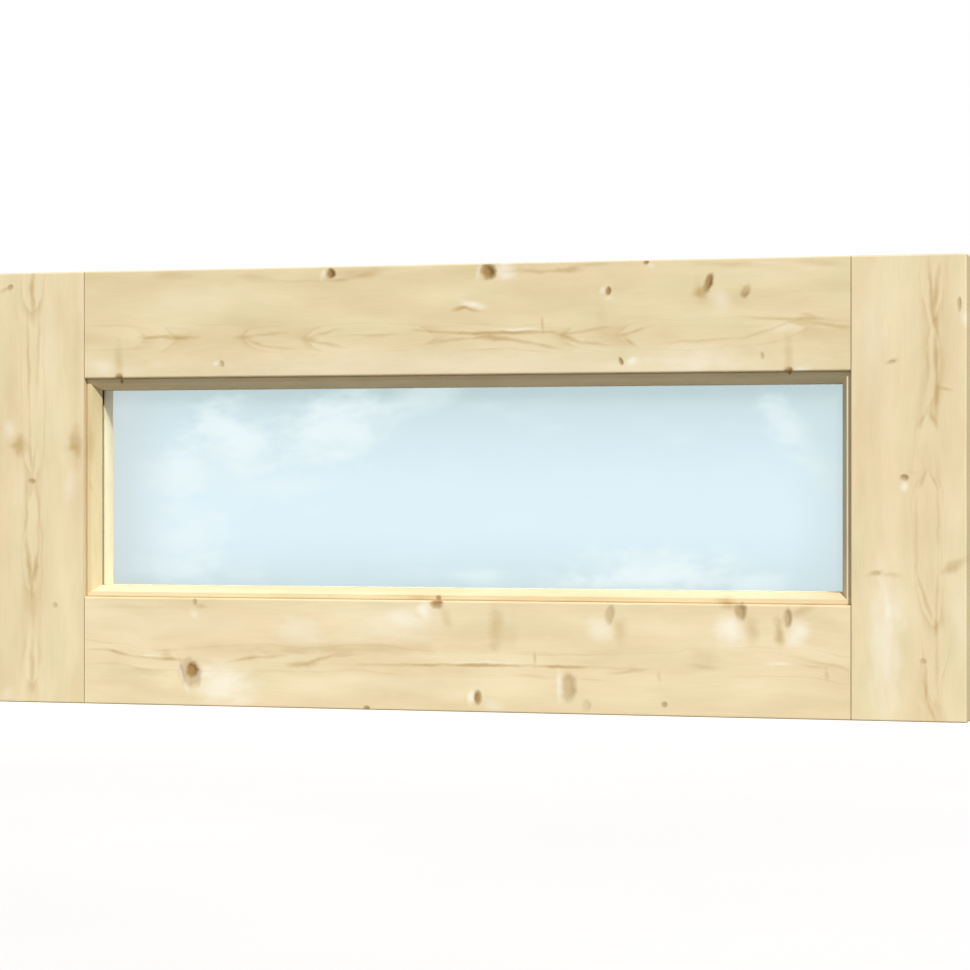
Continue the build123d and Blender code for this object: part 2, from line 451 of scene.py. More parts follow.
def spruce(name, board, knot_nodes, streak_nodes):
    """Clear-finished spruce for one board: rings, streaks, fibres, soft blotches, knots and end grain."""
    material, nodes, shader = new_material(name)
    place = nodes.put("ShaderNodeTexCoord", output="Object")
    x, y, z = nodes.separate(nodes.scale(place, METRE))
    depth = nodes.math("SUBTRACT", y, front_face)
    along, across = (x, z) if board.grain == "X" else (z, x)
    spot = Spot(x, z, depth, along, across)
    marks = wood_marks(nodes, board, spot, knot_nodes, streak_nodes)
    core_share, rim_share, dark_share, pale_share = marks
    late, ring_share, side = growth_rings(nodes, board, spot)

    # Fibres and soft blotches
    grain_place = nodes.combine(along, side, depth)
    fibre = nodes.noise(nodes.vector("MULTIPLY", grain_place, fibre_scale), detail=3.0, roughness=0.6)
    blotch_place = nodes.vector("MULTIPLY_ADD", grain_place, blotch_scale, (0.0, 0.0, board.seed))
    blotch = nodes.noise(blotch_place, detail=3.0)
    tone = nodes.noise(nodes.vector("MULTIPLY", blotch_place, tone_scale))
    colour = nodes.blend(nodes.ramp(tone, *tone_edges), early_wood, warm_early_wood)
    darkest, lightest = (shade * board.shade for shade in blotch_shades)
    shade = nodes.math(
        "MULTIPLY", nodes.spread(blotch, darkest, lightest), nodes.spread(fibre, *fibre_shades)
    )
    shades = nodes.combine(shade, shade, nodes.math("POWER", shade, blue_power))
    colour = nodes.blend(1.0, colour, shades, "MULTIPLY")

    # Streaks, rings and knots over them
    layers = (
        (pale_share, pale_streak_strength, pale_wood),
        (ring_share, ring_strength, late_wood),
        (dark_share, dark_streak_strength, streak_brown),
    )
    for share, strength, layer in layers:
        colour = nodes.blend(nodes.math("MULTIPLY", share, strength), colour, layer)
    colour = nodes.blend(core_share, colour, knot_core)
    colour = nodes.blend(rim_share, colour, knot_rim)

    # Painted shade: the wood is darker in the joint gaps and on the window's outer side faces
    from_middle = nodes.math("ABSOLUTE", x)
    from_joint = nodes.math("ABSOLUTE", nodes.math("SUBTRACT", from_middle, joint_line))
    joint_shade_share = nodes.ramp(from_joint, *joint_zone, 0.0, board.dulling)
    colour = nodes.blend(joint_shade_share, colour, joint_shade_tint, "MULTIPLY")
    outer_start, outer_full = (right_side - distance for distance in outer_shade_zone)
    colour = nodes.blend(nodes.ramp(from_middle, outer_start, outer_full), colour, outer_shade_tint, "MULTIPLY")

    # End grain, where the fibres are cut across
    normal = nodes.separate(nodes.put("ShaderNodeTexCoord", output="Normal"))
    facing = nodes.math("ABSOLUTE", normal[0] if board.grain == "X" else normal[2])
    end_rings = nodes.math("MULTIPLY", late, end_ring_strength)
    end_colour = nodes.blend(end_rings, end_grain, streak_brown)
    colour = nodes.blend(nodes.ramp(facing, *end_facing), colour, end_colour)

    roughness = nodes.spread(fibre, *wood_roughness)
    surface = {
        "Base Color": colour,
        "Roughness": nodes.math("MULTIPLY_ADD", core_share, -knot_polish, roughness),
        "Normal": nodes.bump(fibre, fibre_bump, fibre_height),
        "Specular IOR Level": wood_specular,
    }
    nodes.fill(shader, surface)
    return material


# The bedding tape and the plastic of the blocks: their grain per metre, how light and dark it makes
# them, their roughness and their bump
tape_grain = 1400.0
tape_shades = (0.85, 1.1)
tape_roughness = (0.7, 0.85)
tape_bump = 0.3
block_grain = 900.0
block_flow = 60.0
block_roughness = (0.5, 0.6)
block_bump = 0.2
skin_height = 0.0001


def tape_rubber(name, base):
    """Bedding tape with a fine, dull skin."""
    material, nodes, shader = new_material(name)
    place = nodes.put("ShaderNodeTexCoord", output="Object")
    grain = nodes.noise(place, scale=tape_grain, detail=3.0)
    shade = nodes.ramp(grain, noise_low, noise_high, *tape_shades)
    surface = {
        "Base Color": nodes.blend(1.0, base, nodes.combine(shade, shade, shade), "MULTIPLY"),
        "Roughness": nodes.spread(grain, *tape_roughness),
        "Normal": nodes.bump(grain, tape_bump, skin_height),
    }
    nodes.fill(shader, surface)
    return material


def block_plastic():
    """Moulded plastic of the setting blocks, with faint mould texture."""
    material, nodes, shader = new_material("setting_block_plastic")
    place = nodes.put("ShaderNodeTexCoord", output="Object")
    grain = nodes.noise(place, scale=block_grain)
    flow = nodes.ramp(nodes.noise(place, scale=block_flow), noise_low, noise_high)
    surface = {
        "Base Color": nodes.blend(flow, block_grey, pale_block_grey),
        "Roughness": nodes.spread(grain, *block_roughness),
        "Normal": nodes.bump(grain, block_bump, skin_height),
    }
    nodes.fill(shader, surface)
    return material


# Painted shade on the pane starts and is full at these distances from its top and bottom edges, unevenly
edge_shade_zone = (22.0, 2.0)
edge_shade_share = 0.5
mottle_scale = 25.0
mottle_reach = 3.0
glass_ior = 1.7
glass_transmission = 0.97


def pane_glass():
    """Clear glass with painted shade along its top and bottom, which lets the lamps' light through."""
    material, nodes, shader = new_material("pane_glass")
    place = nodes.put("ShaderNodeTexCoord", output="Object")
    _, _, z = nodes.separate(nodes.scale(place, METRE))
    low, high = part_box("glass_pane")
    half_height = METRE * (high.z - low.z) / 2
    above_middle = nodes.math("SUBTRACT", z, METRE * (low.z + high.z) / 2)
    from_end = nodes.math("SUBTRACT", half_height, nodes.math("ABSOLUTE", above_middle))
    mottle = nodes.spread(nodes.noise(place, scale=mottle_scale, detail=3.0), -mottle_reach, mottle_reach)
    # Painted shade along the pane's top and bottom edges
    dull = nodes.ramp(nodes.math("ADD", from_end, mottle), *edge_shade_zone, 0.0, edge_shade_share)
    glass = {
        "Base Color": nodes.blend(dull, clear_glass, edge_shade_glass),
        "Roughness": 0.0,
        "IOR": glass_ior,
        "Transmission Weight": glass_transmission,
    }
    nodes.fill(shader, glass)
    clear = nodes.put("ShaderNodeBsdfTransparent", {"Color": glass_shadow})
    shadow_ray = nodes.put("ShaderNodeLightPath", output="Is Shadow Ray")
    surface = nodes.put("ShaderNodeMixShader", {0: shadow_ray, 1: shader.outputs[0], 2: clear})
    nodes.fill(nodes.tree.nodes["Material Output"], {"Surface": surface})
    return material


# The boards' figures
top_rail = Board(
    grain="X",
    heart=(
        (-360, 338.5),
        (-261, 337.5),
        (-199, 337.0),
        (-138, 335.5),
        (-14, 335.0),
        (103, 333.5),
        (153, 333.5),
        (224, 334.5),
        (278, 336.5),
        (350, 339.0),
    ),
    rings=(
        (-360, 2.6),
        (-320, 2.35),
        (-300, 2.0),
        (-288, 1.7),
        (-269, 1.0),
        (-254, 0.8),
        (-236, 0.45),
        (-218, 0.4),
        (-199, 1.0),
        (-190, 1.25),
        (-165, 1.7),
        (-138, 2.0),
        (-128, 2.25),
        (-100, 2.6),
        (-50, 2.45),
        (-20, 2.0),
        (0, 1.6),
        (40, 1.3),
        (80, 1.55),
        (103, 2.0),
        (112, 2.25),
        (130, 2.65),
        (153, 3.0),
        (163, 3.25),
        (190, 3.6),
        (260, 3.5),
        (295, 3.15),
        (313, 3.0),
        (335, 2.75),
        (352, 2.55),
    ),
    knots=(
        Knot(-322.5, 301.5, 3.6, 4.0, dark=0.95, rim_z=-0.3),
        Knot(-221.0, 313.5, 2.3, 3.1, tilt=-15, dark=0.45),
        Knot(-115.5, 394.0, 4.8, 4.6, dark=1.0, rim_x=0.6),
        Knot(32.6, 392.8, 6.8, 7.2, dark=1.0, rim_x=0.45, rim_z=0.25),
        Knot(142.5, 373.5, 2.5, 3.7, tilt=12, dark=0.9),
        Knot(154.0, 311.5, 1.9, 3.8, tilt=-24, dark=0.85),
        Knot(176.5, 398.0, 2.6, 2.0, tilt=-20, dark=0.85),
        Knot(232.5, 379.0, 3.8, 8.2, tilt=20, dark=0.95, rim_x=0.4),
        Knot(265.5, 371.0, 3.8, 6.2, tilt=25, dark=0.5, rim_z=-0.3),
        Knot(280.0, 315.0, 1.6, 3.2, tilt=-10, dark=0.35),
        Knot(303.0, 301.5, 3.8, 3.6, dark=0.95, rim_z=-0.3),
    ),
    streaks=(
        Streak(-305, 338.5, -275, 337.5, 2.8, 0.6),
        Streak(-279, 337.8, -247, 337.5, 4.2, 0.8),
        Streak(-207, 337.5, -189, 336.0, 5.0, 0.5),
        Streak(-200, 337.5, -158, 341.5, 2.8, 0.4),
        Streak(-197, 334.5, -178, 327.5, 3.6, 0.6),
        Streak(-183, 328.5, -150, 325.5, 2.6, 0.35),
        Streak(-146, 335.5, -129, 334.5, 5.2, 0.45),
        Streak(-137, 337.5, -106, 343.0, 3.2, 0.45),
        Streak(-136, 333.5, -102, 326.5, 3.2, 0.45),
        Streak(-96, 337.5, -44, 338.0, 2.8, 0.42),
        Streak(-40, 341.0, 22, 337.5, 2.9, 0.55),
        Streak(0, 338.0, 88, 338.0, 3.3, 0.95),
        Streak(38, 341.0, 81, 341.0, 2.4, -0.75),
        Streak(82, 352.0, 83, 338.0, 2.8, 0.55),
        Streak(84, 338.5, 100, 336.0, 3.7, 0.5),
        Streak(-30, 329.0, 28, 334.5, 2.8, 0.45),
        Streak(18, 335.0, 55, 332.0, 4.2, 0.7),
        Streak(46, 332.0, 78, 328.0, 3.0, 0.5),
        Streak(72, 329.0, 100, 322.5, 2.8, 0.5),
        Streak(149, 334.5, 160, 334.0, 4.6, 0.45),
        Streak(156, 332.0, 168, 325.0, 3.6, 0.7),
        Streak(155, 335.0, 180, 341.5, 3.2, 0.5),
        Streak(96, 336.0, 110, 334.5, 4.8, 0.45),
        Streak(102, 336.5, 142, 341.0, 3.0, 0.45),
        Streak(100, 334.5, 118, 328.5, 3.4, 0.55),
        Streak(112, 329.5, 143, 325.5, 2.8, 0.45),
        Streak(180, 325.5, 270, 331.5, 2.6, 0.3),
        Streak(262, 330.0, 312, 345.5, 2.6, 0.35),
        Streak(268, 347.5, 345, 345.0, 2.8, 0.45),
        Streak(318, 343.5, 355, 338.5, 3.6, 0.6),
        Streak(315, 350.5, 332, 346.0, 4.0, 0.45),
        Streak(276, 338.5, 318, 339.5, 5.0, -0.3),
        Streak(-323, 334.0, -322, 301.0, 7.3, 0.4),
        Streak(303, 331.5, 303, 298.5, 7.3, 0.35),
        Streak(-118, 388.0, -95, 387.5, 2.8, 0.5),
        Streak(-103, 390.0, -64, 395.0, 6.5, 0.6),
        Streak(-113, 393.5, -78, 396.5, 3.7, 0.25),
        Streak(-288, 394.5, -248, 394.5, 6.4, 0.3),
        Streak(-204, 392.0, -171, 392.5, 7.3, 0.35),
        Streak(-195, 388.0, -118, 387.0, 2.8, 0.25),
        Streak(50, 392.5, 105, 392.0, 3.7, 0.5),
        Streak(92, 391.5, 122, 393.5, 4.6, 0.55),
        Streak(105, 395.0, 148, 398.5, 3.7, 0.45),
        Streak(215, 395.5, 282, 393.0, 4.6, 0.35),
        Streak(313, 395.5, 353, 393.0, 5.5, 0.3),
        Streak(134, 365.5, 139, 330.0, 9.0, 0.12),
        Streak(-2, 359.0, 12, 361.0, 3.4, 0.8),
        Streak(8, 361.0, 24, 358.0, 2.8, 0.75),
        Streak(8, 364.5, 32, 361.5, 4.0, -0.85),
        Streak(-2, 368.0, 29, 364.5, 2.8, -0.3),
        Streak(-125, 389.0, -120, 398.0, 4.5, -0.7),
        Streak(38, 392.5, 58, 393.0, 14.0, -0.8),
        Streak(22, 386.0, 25, 399.0, 4.5, -0.5),
        Streak(-229, 312.0, -223, 316.0, 4.0, -0.6),
        Streak(135, 370.0, 140, 378.0, 4.5, -0.55),
        Streak(139, 366.5, 147, 368.5, 3.5, -0.5),
        Streak(157, 310.0, 168, 313.0, 5.5, -0.7),
        Streak(178, 394.5, 184, 396.0, 4.0, -0.5),
        Streak(222, 381.0, 227, 363.0, 9.0, 0.55),
        Streak(216, 370.0, 232, 372.5, 7.0, 0.35),
        Streak(240, 374.0, 246, 352.0, 14.0, -0.45),
        Streak(256, 362.0, 268, 377.0, 12.0, 0.18),
        Streak(307, 301.5, 320, 303.0, 4.5, -0.5),
        Streak(-357, 309.0, 355, 309.0, 26.0, -0.3),
        Streak(-345, 318.0, -333, 303.0, 15.0, -0.35),
        Streak(-290, 370.0, -215, 372.0, 34.0, -0.16),
        Streak(-205, 352.0, -110, 354.0, 26.0, 0.1),
        Streak(180, 310.0, 262, 312.0, 22.0, -0.35),
    ),
    seed=3.0,
    shade=0.98,
)
bottom_rail = Board(
    grain="X",
    heart=(
        (-360, 48),
        (-313, 45),
        (-273, 42),
        (-195, 45),
        (-137, 44),
        (-89, 47),
        (-14, 42),
        (79, 42.5),
        (134, 42),
        (224, 47),
        (295, 49),
        (350, 43),
    ),
    rings=(
        (-360, 1.35),
        (-280, 1.2),
        (-200, 1.5),
        (-137, 1.3),
        (0, 1.45),
        (80, 1.2),
        (140, 1.4),
        (220, 1.6),
        (300, 1.5),
        (360, 1.3),
    ),
    knots=(
        Knot(-247.5, 96.0, 2.2, 3.2, dark=0.5),
        Knot(-15.5, 98.5, 5.8, 6.0, dark=1.0, rim_x=0.3, rim_z=0.1),
        Knot(-252.0, 30.5, 10.5, 12.5, tilt=-12, dark=0.45, rim_x=0.1, rim_z=0.0),
        Knot(-250.0, 33.5, 5.6, 6.6, dark=0.8, rim_x=0.2, rim_z=0.2),
        Knot(23.0, 13.0, 3.6, 5.8, dark=0.9, rim_x=-0.25, rim_z=0.2),
        Knot(-81.5, 1.5, 3.0, 2.2, dark=0.8),
        Knot(144.0, 89.0, 4.2, 8.2, tilt=8, dark=0.4, rim_x=0.2),
        Knot(106.5, 24.0, 7.0, 12.4, dark=0.42, rim_x=0.35, rim_z=0.1),
        Knot(123.0, 8.0, 4.2, 5.2, dark=0.2),
        Knot(193.0, 10.5, 2.7, 2.5, dark=0.58),
        Knot(261.0, 93.0, 5.4, 8.6, dark=0.6, rim_x=0.4, rim_z=0.3),
        Knot(302.5, 87.5, 3.8, 7.8, dark=0.55, rim_x=0.4),
    ),
    streaks=(
        Streak(-359, 50.5, -329, 49.5, 2.8, 0.35),
        Streak(-333, 50.0, -310, 45.0, 2.8, 0.6),
        Streak(-315, 46.0, -285, 42.5, 2.8, 0.45),
        Streak(-307, 45.0, -281, 45.5, 2.4, -0.7),
        Streak(-287, 42.0, -259, 42.0, 3.1, 0.8),
        Streak(-281, 49.0, -271, 46.0, 7.3, 0.35),
        Streak(-214, 41.5, -182, 46.0, 3.1, 0.6),
        Streak(-189, 45.0, -156, 48.0, 3.1, 0.45),
        Streak(-158, 39.5, -131, 40.5, 4.6, 0.65),
        Streak(-139, 41.0, -114, 48.0, 3.3, 0.6),
        Streak(-122, 47.5, -87, 49.5, 3.1, 0.35),
        Streak(-103, 40.0, -14, 41.5, 2.9, 0.4),
        Streak(-32, 41.5, 87, 42.0, 2.9, 0.95),
        Streak(-25, 43.0, 74, 44.5, 2.4, -0.7),
        Streak(75, 54.0, 76, 42.5, 2.9, 0.6),
        Streak(84, 41.5, 127, 42.0, 2.8, 0.65),
        Streak(116, 41.5, 180, 41.5, 2.8, 0.3),
        Streak(143, 37.0, 178, 41.0, 3.1, 0.5),
        Streak(188, 42.0, 189, 28.0, 3.7, 0.35),
        Streak(40, 97.0, 40, 55.5, 12.0, 0.5),
        Streak(55, 86.5, 53, 55.5, 12.8, 0.15),
        Streak(-244, 53.5, 42, 56.5, 8.0, 0.35),
        Streak(-216, 49.5, -108, 52.5, 4.6, 0.25),
        Streak(215, 59.0, 242, 49.5, 14.7, 0.2),
        Streak(214, 45.5, 242, 42.5, 3.7, 0.35),
        Streak(282, 47.5, 313, 47.5, 2.8, -0.6),
        Streak(308, 53.5, 357, 43.5, 3.1, 0.35),
        Streak(313, 47.5, 341, 44.5, 2.9, 0.35),
        Streak(336, 44.0, 337, 34.0, 3.7, 0.45),
        Streak(-357, 25.5, -268, 16.0, 16.5, 0.2),
        Streak(-323, 33.5, -278, 28.5, 5.5, 0.2),
        Streak(-248, 93.0, -236, 90.5, 3.7, 0.5),
        Streak(-356, 89.5, -253, 89.5, 3.7, 0.2),
        Streak(-251, 89.0, -246, 80.0, 7.0, -0.6),
        Streak(-34, 88.0, -21, 93.5, 11.0, -0.85),
        Streak(-64, 83.0, -20, 86.0, 15.0, -0.45),
        Streak(-10, 92.0, -3, 74.0, 8.0, 0.35),
        Streak(-248, 30.0, -192, 10.0, 34.0, -0.95),
        Streak(-264.5, 41.0, -254, 12.0, 3.0, -0.95),
        Streak(-262, 41.0, -256, 19.0, 2.0, 0.5),
        Streak(15.5, 5.0, 17, 21.0, 4.5, -0.9),
        Streak(29, 8.0, 46, 5.0, 10.0, -0.4),
        Streak(128, 68.0, 143, 84.0, 18.0, -0.65),
        Streak(151, 88.0, 155, 64.0, 11.0, 0.5),
        Streak(98, 37.0, 98, 11.0, 5.0, -0.85),
        Streak(242, 100.0, 258, 96.0, 7.0, 0.6),
        Streak(238, 83.0, 264, 70.0, 22.0, -1.0),
        Streak(268, 88.0, 273, 66.0, 11.0, 0.5),
        Streak(293, 88.0, 296, 61.0, 7.5, 0.85),
        Streak(303, 79.0, 320, 68.0, 20.0, -0.85),
        Streak(306, 91.0, 324, 97.0, 6.5, 0.45),
        Streak(-170, 74.0, -126, 64.0, 21.0, -0.45),
        Streak(-98, 75.0, -10, 78.0, 28.0, -0.35),
        Streak(-355, 78.0, -190, 76.0, 22.0, -0.12),
        Streak(-130, 22.0, 20, 24.0, 20.0, -0.15),
    ),
    seed=17.0,
    shade=1.035,
)
left_stile = Board(
    grain="Z",
    heart=((-10, -411), (58, -410), (160, -410), (216, -409), (281, -409), (365, -410), (402, -409)),
    rings=(
        (-5, 0.6),
        (10, 0.85),
        (20, 1.0),
        (30, 1.1),
        (42, 1.1),
        (66, 1.01),
        (85, 0.94),
        (98, 0.94),
        (104, 1.0),
        (112, 1.15),
        (140, 1.28),
        (165, 1.12),
        (190, 1.02),
        (200, 0.96),
        (207, 0.97),
        (212, 1.0),
        (225, 1.15),
        (240, 1.3),
        (300, 1.45),
        (345, 1.6),
        (365, 2.0),
        (400, 2.5),
    ),
    knots=(
        Knot(-432.0, 387.0, 3.2, 2.4, tilt=-40, dark=0.55),
        Knot(-410.0, 206.0, 3.6, 2.6, dark=0.5, rim_z=0.3),
        Knot(-386.5, 91.0, 2.5, 2.5, dark=0.36),
    ),
    streaks=(
        Streak(-442, 382.0, -433, 387.0, 2.8, 0.5),
        Streak(-409.5, 404, -410.5, 366, 5.0, 0.75),
        Streak(-408, 378, -409, 346, 4.6, 0.35),
        Streak(-415, 374, -412, 244, 2.8, 0.45),
        Streak(-402, 372, -405, 289, 2.8, 0.35),
        Streak(-412.5, 245, -409.5, 213, 3.2, 0.45),
        Streak(-405, 245, -408.5, 213, 3.0, 0.35),
        Streak(-416, 216, -416, 146, 2.8, 0.35),
        Streak(-403, 198, -404, 132, 2.8, 0.3),
        Streak(-415, 146, -410.5, 104, 4.4, 0.8),
        Streak(-404, 142, -409.5, 106, 4.4, 0.75),
        Streak(-410, 109, -410, 95, 2.8, 0.35),
        Streak(-410, 62, -410, 10, 4.6, 0.55),
        Streak(-421, 249, -424, 229, 13.0, 0.8),
        Streak(-436, 238, -424, 240, 5.0, 0.3),
        Streak(-365.5, 258, -363.5, 222, 12.0, 0.8),
        Streak(-378, 236, -364.5, 238, 5.5, 0.35),
        Streak(-435, 263, -431, 246, 9.2, -0.5),
        Streak(-370.5, 216, -374.5, 188, 12.8, -0.35),
        Streak(-439.5, 11, -431, 2, 14.7, -0.3),
        Streak(-428, 375, -433, 263, 12.8, 0.15),
        Streak(-364, 395, -364, 280, 9.0, 0.2),
        Streak(-395, 380, -392, 300, 14.0, -0.15),
    ),
    seed=29.0,
    shade=1.01,
)
right_stile = Board(
    grain="Z",
    heart=(
        (-10, 431),
        (11, 430),
        (32, 426.5),
        (66, 431),
        (83, 430),
        (100, 426),
        (152, 423),
        (212, 424),
        (262, 424),
        (289, 427.5),
        (374, 427.5),
        (407, 429),
    ),
    rings=(
        (0, 0.8),
        (20, 1.0),
        (38, 1.15),
        (62, 1.4),
        (76, 1.8),
        (84, 2.0),
        (104, 2.25),
        (144, 2.6),
        (184, 2.6),
        (203, 2.25),
        (212, 2.0),
        (238, 1.7),
        (254, 1.2),
        (262, 1.0),
        (266, 0.95),
        (271, 0.99),
        (290, 1.08),
        (314, 1.12),
        (334, 1.02),
        (338, 0.98),
        (342, 1.0),
        (374, 1.3),
        (400, 1.6),
    ),
    knots=(
        Knot(393.0, 308.0, 3.2, 1.8, tilt=-20, dark=0.3, rim_z=0.4),
        Knot(403.5, 209.0, 3.8, 3.0, dark=0.6, rim_z=0.45),
        Knot(379.0, 127.0, 4.2, 2.6, dark=0.22, rim_z=0.4),
        Knot(419.5, 52.0, 3.0, 2.6, dark=0.36),
        Knot(450.5, 357.0, 1.8, 6.5, dark=0.5),
    ),
    streaks=(
        Streak(424.5, 394, 427.5, 342, 3.3, 0.7),
        Streak(432.5, 388, 428, 341, 4.6, 0.8),
        Streak(424.5, 336, 422, 279, 2.8, 0.45),
        Streak(430.5, 342, 431, 268, 4.0, 0.8),
        Streak(432.5, 285, 446, 283, 3.0, 0.5),
        Streak(431, 284, 433, 268, 4.5, 0.2),
        Streak(425, 268, 426.5, 255, 3.7, 0.3),
        Streak(422, 264, 416, 250, 3.0, 0.4),
        Streak(426, 264, 432, 250, 3.0, 0.4),
        Streak(422, 213, 415, 199, 3.2, 0.55),
        Streak(425, 214, 431.5, 200, 3.2, 0.55),
        Streak(413.5, 192, 413.5, 126, 2.8, 0.35),
        Streak(432, 198, 432.5, 139, 2.8, 0.35),
        Streak(414, 128, 427.5, 84, 2.9, 0.5),
        Streak(432.5, 131, 430, 82, 2.8, 0.4),
        Streak(430, 87, 431, 74, 3.7, 0.6),
        Streak(421.5, 50, 422, 17, 2.9, 0.6),
        Streak(423, 18, 430, 1, 3.3, 0.5),
        Streak(431, 75, 431.5, 28, 2.8, 0.35),
        Streak(438, 131, 457, 140, 8.3, 0.55),
        Streak(432.5, 127, 451.5, 132, 5.5, 0.3),
        Streak(370, 125, 384, 129, 3.7, 0.45),
        Streak(382, 126, 403.5, 124, 3.7, 0.35),
        Streak(386, 306.5, 393, 310.5, 2.6, 0.5),
        Streak(392, 310.5, 399, 309.5, 2.4, 0.35),
        Streak(384.5, 122, 388.5, 10, 22.0, -0.62),
        Streak(395, 112, 397, 78, 17.0, -0.4),
        Streak(400, 203, 407, 201, 7.0, -0.85),
        Streak(404, 214, 418, 212, 4.0, 0.2),
        Streak(454, 352, 455.5, 338, 6.0, -0.7),
        Streak(375.5, 376, 377.5, 262, 21.0, -0.2),
        Streak(449.5, 118, 453, 50, 11.0, -0.2),
        Streak(366, 300, 364, 180, 8.0, 0.15),
        Streak(437, 385, 440, 300, 8.0, 0.12),
    ),
    seed=41.0,
    shade=1.02,
)


def bead(grain, heart, seed, knots=(), streaks=(), shade=1.0):
    """A straight-grained length for a bead, with the ends of the knots beside it."""
    return Board(
        grain=grain,
        heart=((-500, heart), (500, heart + 1)),
        rings=((-500, 0.0), (-250, 0.35), (0, 0.1), (250, 0.4), (500, 0.15)),
        knots=knots,
        streaks=streaks,
        seed=seed,
        leaning=False,
        shade=shade,
        dulling=bead_joint_shade,
    )


bead_bottom = bead(
    grain="X",
    heart=60,
    seed=53.0,
    knots=(Knot(-15.5, 101.5, 5.5, 5.0, dark=0.9), Knot(261.0, 98.0, 5.0, 6.0, dark=0.5)),
    streaks=(Streak(238, 103.5, 256, 99.0, 8.0, 0.7), Streak(-45, 101.0, -20, 101.5, 4.0, 0.5)),
)
bead_top = bead(
    grain="X",
    heart=340,
    seed=59.0,
    knots=(Knot(-322.0, 298.0, 3.6, 5.5, dark=1.0), Knot(303.0, 300.0, 3.4, 3.5, dark=0.85)),
)
bead_left = bead(
    grain="Z",
    heart=-300,
    seed=61.0,
    streaks=(Streak(-354, 262, -353, 226, 5.0, 0.5), Streak(-354, 206, -353, 196, 3.0, 0.4)),
    # Painted shade: the left bead's wood is darker all over, to tone down the light on its sloped face
    shade=0.87,
)
bead_right = bead(grain="Z", heart=310, seed=67.0)


def give(node, material):
    """Put one material on every slot of a CAD node."""
    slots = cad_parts[node].material_slots
    if not slots:
        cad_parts[node].data.materials.append(material)
    for material_slot in slots:
        material_slot.material = material


knot_nodes = knot_group()
streak_nodes = streak_group()
boards = {
    "rail_top": top_rail,
    "rail_bottom": bottom_rail,
    "stile_left": left_stile,
    "stile_right": right_stile,
    "bead_bottom": bead_bottom,
    "bead_top": bead_top,
    "bead_left": bead_left,
    "bead_right": bead_right,
}
for node, board in boards.items():
    give(node, spruce(f"spruce_{node}", board, knot_nodes, streak_nodes))

small_pieces = {
    "tape_front_": tape_rubber("front_tape_rubber", tape_brown),
    "tape_back_": tape_rubber("back_tape_rubber", tape_cream),
    "block_": block_plastic(),
}
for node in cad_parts:
    for start, material in small_pieces.items():
        if node.startswith(start):
            give(node, material)
give("glass_pane", pane_glass())


def seen_in_glass(nodes, path):
    """Whether a ray reaches its surface by the glass straight from the camera, not by a dull surface."""
    by_glass = nodes.math("MAXIMUM", path.outputs["Is Glossy Ray"], path.outputs["Is Transmission Ray"])
    straight = nodes.math("LESS_THAN", path.outputs["Diffuse Depth"], 0.5)
    return nodes.math("MULTIPLY", by_glass, straight)


# The floor: half its size in metres, how light it is to the camera and to other surfaces, and the
# texture of its faint mottle
floor_half = 30.0
floor_shades = (0.96, 0.98)
floor_tint = (1.0, 1.0, 1.02)
floor_bounce = (0.34, 0.34, 0.34, 1.0)
floor_mottle = 2.0


def pale_floor():
    """A plain pale floor under the window, which keeps its shadow."""
    mesh = bpy.data.meshes.new("floor")
    sides = ((-1, -1), (1, -1), (1, 1), (-1, 1))
    corners = [(floor_half * x, floor_half * y, 0.0) for x, y in sides]
    mesh.from_pydata(corners, [], [(0, 1, 2, 3)])
    floor = bpy.data.objects.new("floor", mesh)
    bpy.context.scene.collection.objects.link(floor)
    material, nodes, shader = new_material("pale_floor")
    path = nodes.put("ShaderNodeLightPath", output="Is Camera Ray").node
    place = nodes.put("ShaderNodeTexCoord", output="Object")
    mottle = nodes.ramp(nodes.noise(place, scale=floor_mottle), noise_low, noise_high, *floor_shades)
    seen = nodes.vector("MULTIPLY", nodes.combine(mottle, mottle, mottle), floor_tint)
    surface = {
        "Base Color": nodes.blend(path.outputs["Is Camera Ray"], floor_bounce, seen),
        "Roughness": 1.0,
        "Specular IOR Level": 0.0,
    }
    nodes.fill(shader, surface)
    glass_sees = seen_in_glass(nodes, path)
    clear = nodes.put("ShaderNodeBsdfTransparent")
    mixed = nodes.put("ShaderNodeMixShader", {0: glass_sees, 1: shader.outputs[0], 2: clear})
    nodes.fill(nodes.tree.nodes["Material Output"], {"Surface": mixed})
    mesh.materials.append(material)


# A cloud: its bearing and height, its half sizes and its tilt, all in degrees, and its strength
Cloud = namedtuple("Cloud", "bearing height wide high tilt strength")

clouds = (
    Cloud(-21.0, 0.75, 1.0, 0.8, -35.0, 1.0),
    Cloud(-21.9, 0.15, 1.3, 0.5, 8.0, 0.9),
    Cloud(-21.9, -1.2, 1.1, 0.8, 35.0, 0.75),
    Cloud(-20.2, -0.1, 1.5, 0.3, 6.0, 0.5),
    Cloud(-19.1, 1.0, 1.3, 0.8, 30.0, 0.95),
    Cloud(-17.7, 1.5, 1.4, 0.35, 20.0, 0.6),
    Cloud(-10.5, 1.0, 1.0, 0.35, -55.0, 0.7),
    Cloud(-10.0, 0.3, 0.9, 0.3, -40.0, 0.7),
    Cloud(-13.1, -1.75, 2.0, 0.5, 2.0, 1.0),
    Cloud(-16.3, -1.8, 0.7, 0.25, 0.0, 0.6),
    Cloud(-11.1, -1.9, 0.8, 0.35, 0.0, 0.7),
)

# Clouds end at this reach, in half sizes, and their outlines move by up to so many of them
cloud_reach = 1.3
cloud_ragged = 0.5
cloud_ragged_scale = (2.6, 1.7, 1.0)

# Thin wisps between the clouds: their scale per degree, where they start and are full, and their share
wisp_scale = (0.55, 1.6, 1.0)
wisp_edges = (0.52, 0.78)
wisp_share = 0.35

# Painted shade in the sky towards both sides of the pane: where it starts and ends, in degrees, and how
# much of it shows
sky_shade_left = (-21.9, -23.5)
sky_shade_left_share = 0.75
sky_shade_right = (-10.7, -9.3)
sky_shade_right_share = 0.6

